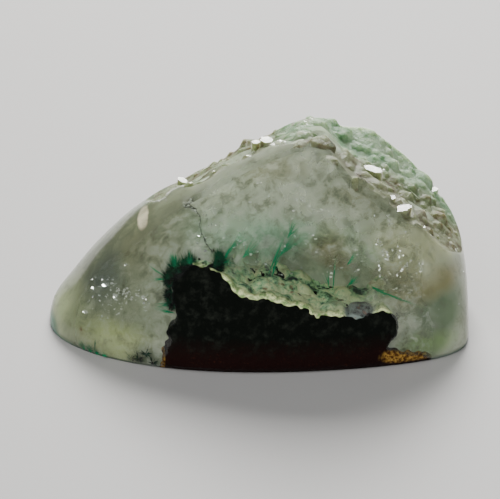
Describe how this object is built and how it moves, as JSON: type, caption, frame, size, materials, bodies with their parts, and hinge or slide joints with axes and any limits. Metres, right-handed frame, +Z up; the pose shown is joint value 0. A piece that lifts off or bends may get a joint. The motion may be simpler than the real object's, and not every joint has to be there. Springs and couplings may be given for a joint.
{
  "type": "gem silica druse",
  "caption": "Ground and polished freeform lump of see-through grey-green chalcedony, with dark host rock low on its front and a natural crust of small quartz crystals on top.",
  "frame": {"origin": "middle of the object's box, on the surface that it rests on", "axes": "+X along the stone from its low tip to its blunt end, +Y to the back, away from the exposed rock, +Z up"},
  "size_m": [0.032, 0.0192, 0.0158],
  "materials": {
    "chalcedony": "polished",
    "host_rock": "matte",
    "chrysocolla": "satin",
    "malachite": "satin"
  },
  "bodies": {
    "root": {"chalcedony_with_druse": "chalcedony", "host_rock": "host_rock", "chrysocolla_rind": "chrysocolla", "malachite_tuft_upper": "malachite", "malachite_tuft_lower": "malachite", "malachite_tuft_middle": "malachite"}
  },
  "joints": []
}
